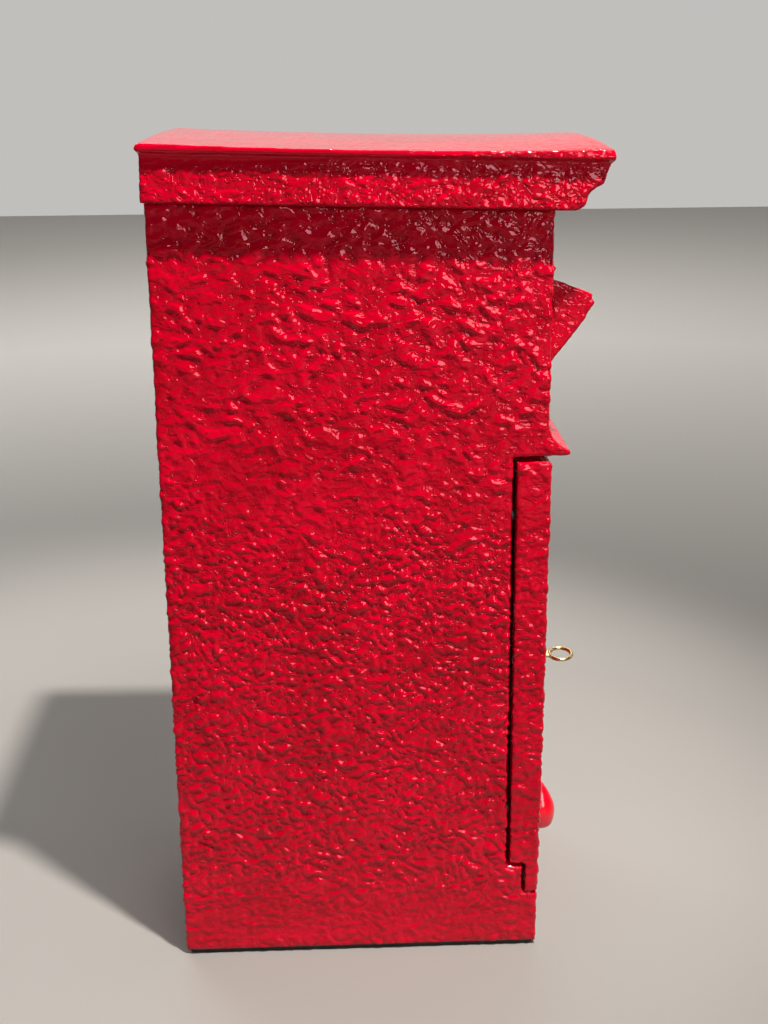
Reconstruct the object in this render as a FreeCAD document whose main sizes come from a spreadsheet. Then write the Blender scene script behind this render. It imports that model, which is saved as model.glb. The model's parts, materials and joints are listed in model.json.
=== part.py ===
import FreeCAD, Part
import math
import os

import Sketcher
from FreeCAD import Placement, Rotation, Vector

# A cast, enamelled letter box that stands on a rubber pad or hangs on a wall.
# Millimetres. X is the width, the front faces -Y, Z is up.
# The origin is the middle of the underside of the base pad.

SIZES = {
    # casting
    "body_width": 215.0,
    "body_depth": 280.0,
    "side_wall": 5.0,
    "front_wall": 6.0,
    "floor_wall": 6.0,
    "edge_round": 2.0,
    "top_front": 580.0,
    "top_back": 588.3,
    "base_height": 4.0,
    "base_inset": 3.0,
    # drip ledge over the door
    "ledge_under": 405.2,
    "ledge_floor": 7.0,
    "ledge_top": 430.0,
    "ledge_reach": 16.0,
    "ledge_nose": 4.4,
    "ledge_bevel": 1.6,
    "ledge_cove": 22.0,
    # door seat, upstand and plinth
    "seat_depth": 25.8,
    "seat_wall": 6.0,
    "seat_width": 17.0,
    "seat_sill": 82.0,
    "seat_head": 392.0,
    "upstand_top": 71.3,
    "upstand_depth": 13.0,
    "plinth_top": 47.0,
    "plinth_depth": 0.7,
    # door
    "door_gap": 2.8,
    "door_top": 401.3,
    "door_step": 73.8,
    "door_bottom": 48.5,
    "door_proud_top": 2.8,
    "door_proud_bottom": 0.1,
    "door_lip_depth": 10.5,
    "door_rim": 10.0,
    "door_skin": 4.0,
    "door_edge_round": 2.5,
    "panel_margin": 22.0,
    "panel_depth": 1.4,
    # hinge
    "hinge_inset": 5.2,
    "hinge_depth": 18.0,
    "hinge_pin": 5.0,
    "pin_hold": 6.4,
    "pin_reach": 16.0,
    "pin_root": 18.0,
    "washer_height": 2.4,
    "washer_width": 9.4,
    "running_fit": 0.05,
    "snug_fit": 0.02,
    # lock
    "lock_inset": 40.0,
    "lock_height": 235.0,
    "lock_flange": 23.0,
    "lock_flange_height": 2.0,
    "lock_body": 18.0,
    "lock_length": 30.6,
    "lock_bore": 13.0,
    "lock_nut_width": 25.0,
    "lock_nut_height": 4.0,
    "keyway_width": 7.8,
    "keyway_height": 2.4,
    "keyway_depth": 27.0,
    "cam_thick": 2.6,
    "cam_width": 14.0,
    "cam_length": 32.0,
    "cam_square": 7.0,
    "cam_seat": 33.0,
    # key
    "key_ring": 8.5,
    "key_wire": 1.5,
    "key_ring_reach": 18.4,
    "key_blade": 24.0,
    "key_width": 7.2,
    "key_thick": 2.0,
    # pull on the door
    "pull_height": 85.2,
    "pull_round": 12.0,
    "pull_axis": 7.4,
    # cap
    "cap_overhang": 12.0,
    "cap_lip": 5.0,
    "cap_lip_height": 6.5,
    "cap_height": 39.5,
    "crown_edge_back": 39.5,
    "crown_edge_middle": 37.8,
    "crown_edge_front": 41.0,
    "crown_rise_back": 1.1,
    "crown_rise_middle": 1.7,
    "crown_rise_front": 4.8,
    "cap_back": 140.5,
    "cap_back_lip": 143.0,
    "cap_front_lip": 176.3,
    "cap_lip_round": 3.5,
    "cap_lip_under_round": 2.4,
    "cap_hollow": 31.0,
    "cap_post": 22.0,
    "lug_height": 8.0,
    # rain hood and letter slot
    "hood_inset": 15.5,
    "hood_top": 531.1,
    "hood_bottom": 468.8,
    "hood_reach": 32.9,
    "hood_tip": 517.6,
    "hood_wall": 4.5,
    "hood_canopy_top": 520.0,
    "hood_rail": 508.0,
    "hood_nose_gap": 5.0,
    "hood_nose_drop": 12.0,
    "hood_nose_thick": 5.0,
    "hood_screw_z": 514.0,
    "slot_width": 138.0,
    "slot_bottom": 474.0,
    "slot_top": 506.0,
    # flap inside the slot
    "flap_pin": 4.0,
    "flap_pin_height": 514.0,
    "flap_pin_depth": 6.5,
    "flap_tube": 7.0,
    "flap_width": 148.0,
    "flap_drop": 46.0,
    "flap_thick": 2.0,
    "ear_thick": 3.0,
    "ear_gap": 0.6,
    # baffle under the slot
    "baffle_top": 462.0,
    "baffle_foot": 440.0,
    "baffle_back": -52.0,
    "baffle_back_height": 428.0,
    "baffle_thick": 1.5,
    "baffle_width": 196.0,
    # back plate
    "plate_thick": 4.0,
    "plate_inset": 2.0,
    "plate_gap": 0.6,
    "plate_top": 586.0,
    "plate_lug": 14.0,
    "wall_hole": 6.6,
    "wall_hole_span": 120.0,
    "wall_hole_low": 90.0,
    "wall_hole_high": 520.0,
    # fasteners
    "bolt": 6.0,
    "bolt_head": 10.0,
    "bolt_length": 20.0,
    "screw": 4.0,
    "screw_head": 7.0,
    "screw_head_height": 2.4,
    "screw_socket": 1.5,
}

PLATE_LUG_HEIGHTS = (50.0, 300.0, 545.0)
KEY_CUTS = ((6.0, 1.6), (11.0, 2.4), (16.0, 1.2))
KEY_TURN = -9.0

doc = FreeCAD.newDocument("letter_box")
sheet = doc.addObject("Spreadsheet::Sheet", "Sizes")
parts = []


class Length:
    """A size in millimetres, with the sheet expression that it comes from."""

    def __init__(self, value, text):
        self.value = float(value)
        self.text = text

    def __add__(self, other):
        other = as_length(other)
        return Length(self.value + other.value, f"({self.text} + {other.text})")

    def __sub__(self, other):
        other = as_length(other)
        return Length(self.value - other.value, f"({self.text} - {other.text})")

    def __mul__(self, factor):
        factor = as_length(factor)
        return Length(self.value * factor.value, f"({self.text} * {factor.text})")

    def __truediv__(self, divisor):
        divisor = as_length(divisor)
        return Length(self.value / divisor.value, f"({self.text} / {divisor.text})")

    def __neg__(self):
        return Length(-self.value, f"(0 - {self.text})")

    def __radd__(self, other):
        return as_length(other) + self

    def __rsub__(self, other):
        return as_length(other) - self

    def __rmul__(self, other):
        return as_length(other) * self


def as_length(size):
    """A plain number as a Length."""
    if isinstance(size, Length):
        return size
    return Length(size, f"({float(size)!r})")


def fill_sheet():
    """Write the driving sizes into the sheet, one alias to a row."""
    for row, (alias, value) in enumerate(SIZES.items(), start=1):
        sheet.set(f"A{row}", alias)
        sheet.set(f"B{row}", str(value))
        sheet.setAlias(f"B{row}", alias)
    doc.recompute()


def size(alias):
    """A driving size from the sheet."""
    return Length(sheet.get(alias), f"Sizes.{alias}")


def slope_angle(rise, run):
    """The angle of a slope, in degrees."""
    value = math.degrees(math.atan2(rise.value, run.value))
    return Length(value, f"atan({rise.text} / {run.text})")


def bind(owner, path, length):
    """Tie one property of an object to a sheet expression."""
    owner.setExpression(path, as_length(length).text)


def place(item, x=0.0, y=0.0, z=0.0, axis=Vector(0, 0, 1), angle=0.0):
    """Put an object at a point, turned about an axis through it."""
    x, y, z, angle = (as_length(value) for value in (x, y, z, angle))
    item.Placement = Placement(Vector(x.value, y.value, z.value), Rotation(axis, angle.value))
    for path, length in (("x", x), ("y", y), ("z", z)):
        bind(item, f"Placement.Base.{path}", length)


def new_body(label):
    """A part designed from sketches and features."""
    body = doc.addObject("PartDesign::Body", label)
    body.Label = label
    parts.append(body)
    return body


def drive(sketch, kind, geometry, point, length):
    """Hold a point of the sketch at a driven distance from its origin, or on an axis."""
    if length.value == 0:
        sketch_axis = -2 if kind == "DistanceX" else -1
        sketch.addConstraint(Sketcher.Constraint("PointOnObject", geometry, point, sketch_axis))
        return
    index = sketch.addConstraint(
        Sketcher.Constraint(kind, -1, 1, geometry, point, length.value)
    )
    bind(sketch, f"Constraints[{index}]", length)


def arc_between(start, end, radius, side):
    """An arc from start to end that bulges to one side of the way from start to end."""
    chord = end - start
    half = chord.Length / 2
    across = Vector(-chord.y, chord.x, 0).normalize()
    if side == "left":
        across = across * -1
    centre = (start + end) * 0.5 + across * math.sqrt(radius**2 - half**2)
    first, last = (start, end) if side == "right" else (end, start)
    angles = [math.atan2(p.y - centre.y, p.x - centre.x) for p in (first, last)]
    circle = Part.Circle(centre, Vector(0, 0, 1), radius)
    return Part.ArcOfCircle(circle, angles[0], angles[1])


def draw_outline(sketch, corners):
    """Draw a closed outline whose corners are driven by the sheet.

    A corner is (u, v), or (u, v, radius, side) where an arc leaves it.
    """
    corners = [tuple(as_length(c) if not isinstance(c, str) else c for c in p) for p in corners]
    points = [Vector(p[0].value, p[1].value, 0) for p in corners]
    edges = []
    for index, corner in enumerate(corners):
        start = points[index]
        end = points[(index + 1) % len(points)]
        if len(corner) == 2:
            edge = sketch.addGeometry(Part.LineSegment(start, end), False)
            edges.append((edge, 1, 2))
            continue
        radius, side = corner[2:]
        edge = sketch.addGeometry(arc_between(start, end, radius.value, side), False)
        edges.append((edge, 1, 2) if side == "right" else (edge, 2, 1))
    for index, (edge, first, last) in enumerate(edges):
        following, next_first, _ = edges[(index + 1) % len(edges)]
        sketch.addConstraint(
            Sketcher.Constraint("Coincident", edge, last, following, next_first)
        )
        drive(sketch, "DistanceX", edge, first, corners[index][0])
        drive(sketch, "DistanceY", edge, first, corners[index][1])
        if len(corners[index]) == 4:
            radius = corners[index][2]
            held = sketch.addConstraint(Sketcher.Constraint("Radius", edge, radius.value))
            bind(sketch, f"Constraints[{held}]", radius)


def draw_circle(sketch, u, v, diameter):
    """Draw a circle whose centre and size are driven by the sheet."""
    u, v, diameter = (as_length(value) for value in (u, v, diameter))
    circle = Part.Circle(Vector(u.value, v.value, 0), Vector(0, 0, 1), diameter.value / 2)
    index = sketch.addGeometry(circle, False)
    drive(sketch, "DistanceX", index, 3, u)
    drive(sketch, "DistanceY", index, 3, v)
    held = sketch.addConstraint(Sketcher.Constraint("Diameter", index, diameter.value))
    bind(sketch, f"Constraints[{held}]", diameter)


def box_outline(low_u, high_u, low_v, high_v):
    """The corners of a rectangle."""
    return [(low_u, low_v), (high_u, low_v), (high_u, high_v), (low_u, high_v)]


def new_sketch(body, name, role, at=0.0, outlines=(), circles=(), tilt=0.0):
    """A sketch on an origin plane of its body, moved along the plane's normal.

    The normals are +Z for XY_Plane, -Y for XZ_Plane and +X for YZ_Plane.
    """
    at, tilt = as_length(at), as_length(tilt)
    sketch = body.newObject("Sketcher::SketchObject", f"{body.Name}_{name}")
    plane = next(o for o in body.Origin.OriginFeatures if o.Role == role)
    sketch.AttachmentSupport = [(plane, "")]
    sketch.MapMode = "FlatFace"
    offset = Placement(Vector(0, 0, at.value), Rotation(Vector(1, 0, 0), tilt.value))
    sketch.AttachmentOffset = offset
    bind(sketch, "AttachmentOffset.Base.z", at)
    if tilt.value:
        bind(sketch, "AttachmentOffset.Rotation.Angle", tilt)
    for corners in outlines:
        draw_outline(sketch, corners)
    for u, v, diameter in circles:
        draw_circle(sketch, u, v, diameter)
    return sketch


def pad(body, name, sketch, length, reverse=False, symmetric=False, back=None):
    """Add material along the sketch's normal, against it, or both ways."""
    feature = body.newObject("PartDesign::Pad", f"{body.Name}_{name}")
    feature.Profile = sketch
    feature.Reversed = reverse
    if symmetric:
        feature.SideType = "Symmetric"
    if back is not None:
        feature.SideType = "Two sides"
        bind(feature, "Length2", back)
    bind(feature, "Length", length)
    return feature


def pocket(body, name, sketch, depth, along=False):
    """Cut against the sketch's normal, or along it, and make sure that it cut."""
    doc.recompute()
    if body.Shape.isNull():
        raise RuntimeError(f"{body.Name} has no shape before {name}")
    before = body.Shape.Volume
    feature = body.newObject("PartDesign::Pocket", f"{body.Name}_{name}")
    feature.Profile = sketch
    feature.Reversed = along
    bind(feature, "Length", depth)
    doc.recompute()
    if not body.Shape.Volume < before - 0.01:
        raise RuntimeError(f"{feature.Name} removed nothing")
    return feature


def round_edges(body, name, radius, wanted):
    """Round the edges of the body's last feature that a test picks."""
    doc.recompute()
    base = body.Tip
    names = [f"Edge{i}" for i, edge in enumerate(base.Shape.Edges, start=1) if wanted(edge)]
    feature = body.newObject("PartDesign::Fillet", f"{body.Name}_{name}")
    feature.Base = (base, names)
    bind(feature, "Radius", radius)
    return feature


def is_straight_along(edge, axis):
    """Whether an edge is a straight line along a unit vector."""
    if not isinstance(edge.Curve, Part.Line):
        return False
    direction = (edge.Vertexes[-1].Point - edge.Vertexes[0].Point).normalize()
    return abs(direction.dot(axis)) > 0.99


def touches(edge, axis, value):
    """Whether an edge lies in the plane where one coordinate has a value."""
    box = edge.BoundBox
    low, high = {"x": (box.XMin, box.XMax), "y": (box.YMin, box.YMax), "z": (box.ZMin, box.ZMax)}[axis]
    return abs(low - value) < 0.01 and abs(high - value) < 0.01


fill_sheet()

# ------------------------------------------------------------ shared places
half_width = size("body_width") / 2
inner_width = half_width - size("side_wall")
front = -(size("body_depth") / 2)
back = size("body_depth") / 2
bottom = size("base_height")
floor_top = bottom + size("floor_wall")
wall_inside = front + size("front_wall")
seat = front + size("seat_depth")
door_rear = seat - size("door_gap")
rim_height = (size("top_front") + size("top_back")) / 2
rim_pitch = slope_angle(size("top_back") - size("top_front"), size("body_depth"))
hinge_x = half_width - size("hinge_inset")
hinge_y = front + size("hinge_depth")
panel_floor = front + size("panel_depth")
tray_floor = panel_floor + size("door_skin")
lock_x = -half_width + size("lock_inset")
lock_face = panel_floor - size("lock_flange_height")
plate_front = back - size("plate_inset") - size("plate_thick")
flap_axis_y = wall_inside + size("flap_pin_depth")
X_AXIS = Vector(1, 0, 0)
Y_AXIS = Vector(0, 1, 0)
Z_AXIS = Vector(0, 0, 1)

lug_x = inner_width - size("cap_post") / 2
lug_front = wall_inside + size("cap_post") / 2
lug_back = plate_front - size("cap_post") / 2 - 1.0
CAP_LUGS = [(sx * lug_x, y) for sx in (1, -1) for y in (lug_front, lug_back)]

plate_screw_x = inner_width - size("plate_lug") / 2
PLATE_SCREWS = [(sx * plate_screw_x, as_length(z)) for sx in (1, -1) for z in PLATE_LUG_HEIGHTS]

ear_x = size("flap_width") / 2 + size("ear_gap")
bracket_screw_x = ear_x + size("ear_thick") + 8.0
BRACKET_SCREWS = [
    (sx * bracket_screw_x, size("flap_pin_height") + dz) for sx in (1, -1) for dz in (-7.0, 7.0)
]
HOOD_SCREWS = [(as_length(x), size("hood_screw_z")) for x in (-50.0, 50.0)]
BAFFLE_SCREWS = [(as_length(x), size("baffle_foot") + 9.0) for x in (-80.0, 0.0, 80.0)]
WALL_HOLES = [
    (sx * size("wall_hole_span") / 2, size(level))
    for sx in (1, -1)
    for level in ("wall_hole_low", "wall_hole_high")
]


# ---------------------------------------------------------------- castings
def body_shell():
    """The casting: sides, floor, upper front with its drip ledge, and plinth."""
    body = new_body("body_shell")
    nose = front - size("ledge_reach")
    under = size("ledge_under")
    side = [
        (back, bottom),
        (back, size("top_back")),
        (front, size("top_front")),
        (front, size("ledge_top"), size("ledge_cove"), "left"),
        (nose, under + size("ledge_nose")),
        (nose, under + size("ledge_bevel")),
        (nose + size("ledge_bevel"), under),
        (seat, under),
        (seat, size("upstand_top")),
        (front + size("upstand_depth"), size("upstand_top")),
        (front + size("upstand_depth"), size("plinth_top")),
        (front + size("plinth_depth"), size("plinth_top")),
        (front + size("plinth_depth"), bottom),
    ]
    outline = new_sketch(body, "side", "YZ_Plane", outlines=[side])
    pad(body, "block", outline, size("body_width"), symmetric=True)
    round_edges(body, "corners", size("edge_round"), is_body_corner)
    hollow_body(body)
    add_body_lugs(body)
    drill_body(body)


def is_body_corner(edge):
    """The four tall outer corners, and the side edges along the floor."""
    outer = touches(edge, "x", half_width.value) or touches(edge, "x", -half_width.value)
    upright = is_straight_along(edge, Z_AXIS) and edge.Length > 100
    at_seat = touches(edge, "y", seat.value)
    return outer and upright and not at_seat


def hollow_body(body):
    """Cut the mail space, the slot and the door opening."""
    above = size("top_back") + 20.0
    room = new_sketch(
        body, "room", "XZ_Plane", -back, [box_outline(-inner_width, inner_width, floor_top, above)]
    )
    pocket(body, "room_cut", room, back - seat - size("seat_wall"), along=True)
    shelf = size("ledge_under") + size("ledge_floor")
    head = new_sketch(
        body, "head", "XZ_Plane", -seat, [box_outline(-inner_width, inner_width, shelf, above)]
    )
    pocket(body, "head_front", head, seat - wall_inside, along=True)
    head_rear = new_sketch(
        body, "head_rear", "XZ_Plane", -seat, [box_outline(-inner_width, inner_width, shelf, above)]
    )
    pocket(body, "head_back", head_rear, size("seat_wall") + 1.0)

    opening = half_width - size("seat_width")
    door_way = new_sketch(
        body,
        "door_way",
        "XZ_Plane",
        -seat,
        [box_outline(-opening, opening, size("seat_sill"), size("seat_head"))],
    )
    pocket(body, "door_way_cut", door_way, size("seat_wall") + 2.0)

    half_slot = size("slot_width") / 2
    slot = new_sketch(
        body,
        "slot",
        "XZ_Plane",
        -front,
        [box_outline(-half_slot, half_slot, size("slot_bottom"), size("slot_top"))],
    )
    pocket(body, "slot_cut", slot, size("front_wall") + 1.0)

    hollow = half_width - 14.0
    inside_seat = seat + size("seat_wall") + 1.0
    for name, top, stop in (
        ("upstand", size("upstand_top") - 6.0, front + size("upstand_depth") + 6.0),
        ("plinth", size("plinth_top") - 6.0, front + size("plinth_depth") + 6.0),
    ):
        space = new_sketch(
            body, name, "XZ_Plane", -inside_seat, [box_outline(-hollow, hollow, floor_top, top)]
        )
        pocket(body, f"{name}_cut", space, inside_seat - stop, along=True)


def add_body_lugs(body):
    """Lugs under the cap and behind the back plate."""
    half = size("cap_post") / 2
    cap_lugs = [
        box_outline(x - half - grow(x, -1), x + half + grow(x, 1), y - half - 1.0, y + half)
        for x, y in CAP_LUGS
    ]
    rim = new_sketch(body, "cap_lugs", "XY_Plane", rim_height, cap_lugs, tilt=rim_pitch)
    pad(body, "cap_lug_pads", rim, size("lug_height"), reverse=True)

    half = size("plate_lug") / 2
    plate_lugs = [
        box_outline(x - half - grow(x, -1), x + half + grow(x, 1), z - half, z + half)
        for x, z in PLATE_SCREWS
    ]
    lugs = new_sketch(body, "plate_lugs", "XZ_Plane", -plate_front, plate_lugs)
    pad(body, "plate_lug_pads", lugs, size("lug_height") + 2.0)


def grow(x, side):
    """One millimetre more on the side of a lug that runs into the side wall."""
    return 1.0 if (x.value > 0) == (side > 0) else 0.0


def drill_body(body):
    """Holes for the cap bolts, the screws and the hinge pins."""
    clear = size("bolt") + 0.4
    rim = new_sketch(
        body,
        "cap_holes",
        "XY_Plane",
        rim_height,
        circles=[(x, y, clear) for x, y in CAP_LUGS],
        tilt=rim_pitch,
    )
    pocket(body, "cap_drill", rim, size("lug_height") + 4.0)

    tight = size("screw") + size("snug_fit") * 2
    plate = new_sketch(
        body, "plate_holes", "XZ_Plane", -plate_front, circles=[(x, z, tight) for x, z in PLATE_SCREWS]
    )
    pocket(body, "plate_drill", plate, size("lug_height") + 1.0, along=True)

    blind = new_sketch(
        body,
        "inside_holes",
        "XZ_Plane",
        -wall_inside,
        circles=[(x, z, tight) for x, z in BRACKET_SCREWS + BAFFLE_SCREWS],
    )
    pocket(body, "inside_drill", blind, 4.6, along=True)

    through = new_sketch(
        body,
        "hood_holes",
        "XZ_Plane",
        -wall_inside,
        circles=[(x, z, size("screw") + 0.3) for x, z in HOOD_SCREWS],
    )
    pocket(body, "hood_drill", through, size("front_wall") + 1.0, along=True)

    pin = size("hinge_pin") + size("snug_fit") * 2
    upper = new_sketch(
        body, "upper_pin_hole", "XY_Plane", size("ledge_under"), circles=[(hinge_x, hinge_y, pin)]
    )
    pocket(body, "upper_pin_drill", upper, size("pin_hold"), along=True)
    lower = new_sketch(
        body, "lower_pin_hole", "XY_Plane", size("upstand_top"), circles=[(hinge_x, hinge_y, pin)]
    )
    pocket(body, "lower_pin_drill", lower, size("pin_root"))


def cornice_cap():
    """The roof casting: moulded cornice, projecting lip and crowned top."""
    body = new_body("cornice_cap")
    place(body, z=rim_height, axis=X_AXIS, angle=rim_pitch)
    bind(body, "Placement.Rotation.Angle", rim_pitch)
    lip_under = size("cap_height") - size("cap_lip_height")
    moulding = [
        (size("cap_back"), 0.0),
        (-size("cap_front_lip") + 26.3, 0.0, 9.6, "left"),
        (-size("cap_front_lip") + 16.6, 8.8, 11.0, "right"),
        (-size("cap_front_lip") + 8.5, 16.8, 8.0, "left"),
        (-size("cap_front_lip") + 4.9, 22.3),
        (-size("cap_front_lip") + 1.7, lip_under + 1.0),
        (size("cap_back"), lip_under + 1.0),
    ]
    fascia = half_width + size("cap_overhang")
    sketch = new_sketch(body, "moulding", "YZ_Plane", outlines=[moulding])
    pad(body, "fascia", sketch, fascia * 2, symmetric=True)

    edge = fascia + size("cap_lip")
    sections = [
        crown_section(body, "back", -size("cap_back_lip"), edge),
        crown_section(body, "middle", as_length(0.0), edge),
        crown_section(body, "front", size("cap_front_lip"), edge),
    ]
    lip = body.newObject("PartDesign::AdditiveLoft", "cornice_cap_lip")
    lip.Profile = sections[0]
    lip.Sections = sections[1:]
    round_edges(body, "lip_top", size("cap_lip_round"), is_lip_top)
    round_edges(body, "lip_under", size("cap_lip_under_round"), is_lip_under)

    depth = inner_width
    inside = box_outline(-depth, depth, wall_inside, plate_front)
    hollow = new_sketch(body, "hollow", "XY_Plane", outlines=[inside])
    pocket(body, "hollow_cut", hollow, size("cap_hollow"), along=True)
    half = size("cap_post") / 2
    posts = [
        box_outline(x - half - grow(x, -1), x + half + grow(x, 1), y - half - 1.0, y + half)
        for x, y in CAP_LUGS
    ]
    post_sketch = new_sketch(body, "posts", "XY_Plane", outlines=posts)
    pad(body, "post_pads", post_sketch, size("cap_hollow") + 1.0)
    threads = [(x, y, size("bolt") + size("snug_fit") * 2) for x, y in CAP_LUGS]
    taps = new_sketch(body, "taps", "XY_Plane", circles=threads)
    pocket(body, "tap_drill", taps, size("bolt_length"), along=True)


def crown_section(body, place_name, at, edge):
    """One cross-section of the lip and the crowned top, seen from the front."""
    under = size("cap_height") - size("cap_lip_height")
    top = size(f"crown_edge_{place_name}")
    rise = size(f"crown_rise_{place_name}")
    radius = (edge * edge + rise * rise) / (rise * 2)
    slab = [(-edge, under), (edge, under), (edge, top, radius, "right"), (-edge, top)]
    return new_sketch(body, f"crown_{place_name}", "XZ_Plane", at, [slab])


def is_lip_top(edge):
    """The rim of the crowned top."""
    return edge.BoundBox.ZMin > size("crown_edge_middle").value - 0.5


def is_lip_under(edge):
    """The lower rim of the lip, at its sides and its back."""
    under = (size("cap_height") - size("cap_lip_height")).value
    reach = (half_width + size("cap_overhang") + size("cap_lip")).value
    box = edge.BoundBox
    level = abs(box.ZMin - under) < 0.1 and abs(box.ZMax - under) < 0.1
    at_side = box.XMin > reach - 0.1 or box.XMax < 0.1 - reach
    return level and (at_side or box.YMin > size("cap_back_lip").value - 0.1)


def rain_hood():
    """The hood that keeps rain off the letter slot: two cheeks with a canopy set down between them."""
    body = new_body("rain_hood")
    half = half_width - size("hood_inset")
    inner = half - size("hood_wall")
    tip = front - size("hood_reach")
    shape = [
        (front, size("hood_top")),
        (tip + 1.9, size("hood_tip") + 1.6, 3.2, "left"),
        (tip + 0.3, size("hood_tip") - 3.8, 45.0, "left"),
        (tip + 7.5, size("hood_tip") - 16.0),
        (front, size("hood_bottom")),
    ]
    outline = new_sketch(body, "cheek", "YZ_Plane", outlines=[shape])
    pad(body, "block", outline, half * 2, symmetric=True)
    nose = tip + size("hood_nose_gap")
    nose_top = size("hood_canopy_top") - size("hood_nose_drop") - 2.5
    nose_under = nose_top - size("hood_nose_thick")
    over_canopy = [
        (front, size("hood_canopy_top")),
        (front, size("hood_top") + 5.0),
        (tip - 5.0, size("hood_top") + 5.0),
        (tip - 5.0, nose_top),
        (nose, nose_top),
    ]
    gutter = new_sketch(body, "over_canopy", "YZ_Plane", -inner, outlines=[over_canopy])
    pocket(body, "canopy_top", gutter, inner * 2, along=True)
    cavity = [
        (front + 1.0, size("hood_rail")),
        (front - 12.0, size("hood_rail")),
        (nose, nose_under),
        (nose, nose_top + 1.0),
        (tip - 6.0, nose_top + 1.0),
        (tip - 6.0, size("hood_bottom") - 10.0),
        (front + 1.0, size("hood_bottom") - 10.0),
    ]
    mouth = new_sketch(body, "cavity", "YZ_Plane", -inner, outlines=[cavity])
    pocket(body, "mouth", mouth, inner * 2, along=True)
    tight = size("screw") + size("snug_fit") * 2
    holes = new_sketch(
        body, "screw_holes", "XZ_Plane", -front, circles=[(x, z, tight) for x, z in HOOD_SCREWS]
    )
    pocket(body, "screw_drill", holes, 9.0, along=True)


def door():
    """The front door: a shallow tray with a stepped lower lip and a sunk panel."""
    body = new_body("door")
    lip = front - size("door_proud_bottom")
    side = [
        (door_rear, size("door_top")),
        (front - size("door_proud_top"), size("door_top")),
        (lip, size("door_bottom")),
        (front + size("door_lip_depth"), size("door_bottom")),
        (front + size("door_lip_depth"), size("door_step")),
        (door_rear, size("door_step")),
    ]
    outline = new_sketch(body, "side", "YZ_Plane", outlines=[side])
    pad(body, "block", outline, size("body_width"), symmetric=True)
    round_edges(body, "front_edges", size("door_edge_round"), is_door_front)

    margin = size("panel_margin")
    edge = half_width - margin
    low = size("door_bottom") + margin
    high = size("door_top") - margin
    panel = new_sketch(
        body, "panel", "XZ_Plane", -panel_floor, [box_outline(-edge, edge, low, high)]
    )
    pocket(body, "panel_cut", panel, 8.0, along=True)

    rim = size("door_rim")
    inside = half_width - rim
    tray = new_sketch(
        body,
        "tray",
        "XZ_Plane",
        -door_rear,
        [box_outline(-inside, inside, size("door_step") + rim, size("door_top") - rim)],
    )
    pocket(body, "tray_cut", tray, door_rear - tray_floor, along=True)
    drill_door(body)


def is_door_front(edge):
    """The front edges of the door: both sides, the top and the foot of the lip."""
    box = edge.BoundBox
    forward = box.YMax < front.value + 0.05
    return forward and edge.Length > 50


def drill_door(body):
    """Holes for the hinge pins, the lock and the pull's screw."""
    bore = size("hinge_pin") + size("running_fit") * 2
    for name, height, upward in (
        ("upper_bore", size("door_top"), False),
        ("lower_bore", size("door_step"), True),
    ):
        hole = new_sketch(body, name, "XY_Plane", height, circles=[(hinge_x, hinge_y, bore)])
        pocket(body, f"{name}_drill", hole, size("pin_reach") + 1.0, along=upward)
    lock = (lock_x, size("lock_height"), size("lock_body") + size("snug_fit") * 2)
    pull = (lock_x, size("pull_height") + 19.0, size("screw") + 0.3)
    holes = new_sketch(body, "lock_hole", "XZ_Plane", -panel_floor, circles=[lock, pull])
    pocket(body, "lock_drill", holes, size("door_skin") + 1.0)


def back_plate():
    """The flat plate that closes the back and carries the wall holes."""
    body = new_body("back_plate")
    edge = inner_width - size("plate_gap")
    sheet_outline = box_outline(-edge, edge, floor_top + size("plate_gap"), size("plate_top"))
    outline = new_sketch(body, "outline", "XZ_Plane", -plate_front, [sheet_outline])
    pad(body, "plate", outline, size("plate_thick"), reverse=True)
    round_edges(body, "corners", 3.0, lambda edge: is_straight_along(edge, Y_AXIS))
    screws = [(x, z, size("screw") + 0.3) for x, z in PLATE_SCREWS]
    wall = [(x, z, size("wall_hole")) for x, z in WALL_HOLES]
    holes = new_sketch(body, "holes", "XZ_Plane", -plate_front, circles=screws + wall)
    pocket(body, "drill", holes, size("plate_thick") + 1.0)


def base_pad():
    """The rubber sheet under the casting."""
    body = new_body("base_pad")
    inset = size("base_inset")
    edge = half_width - inset
    sheet_outline = box_outline(-edge, edge, front + inset, back - inset)
    outline = new_sketch(body, "outline", "XY_Plane", outlines=[sheet_outline])
    pad(body, "sheet", outline, size("base_height"))
    round_edges(body, "corners", 4.0, lambda edge: is_straight_along(edge, Z_AXIS))


# --------------------------------------------------------------- slot parts
def slot_flap():
    """The flap that hangs behind the slot, rolled around its pin at the top."""
    body = new_body("slot_flap")
    place(body, y=flap_axis_y, z=size("flap_pin_height"))
    width = size("flap_width")
    tube = size("flap_tube") / 2
    thick = size("flap_thick")
    foot = -size("flap_drop")
    leaf = new_sketch(body, "leaf", "YZ_Plane", outlines=[box_outline(-tube, -tube + thick, foot, 0.0)])
    pad(body, "leaf_pad", leaf, width, symmetric=True)
    roll = new_sketch(body, "roll", "YZ_Plane", circles=[(0.0, 0.0, size("flap_tube"))])
    pad(body, "roll_pad", roll, width, symmetric=True)
    lip = box_outline(-tube + 0.2, tube, foot, foot + thick)
    hem = new_sketch(body, "hem", "YZ_Plane", outlines=[lip])
    pad(body, "hem_pad", hem, width, symmetric=True)
    bore = size("flap_pin") + size("running_fit") * 2
    hole = new_sketch(body, "bore", "YZ_Plane", -(width / 2) - 1.0, circles=[(0.0, 0.0, bore)])
    pocket(body, "bore_drill", hole, width + 2.0, along=True)


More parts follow.
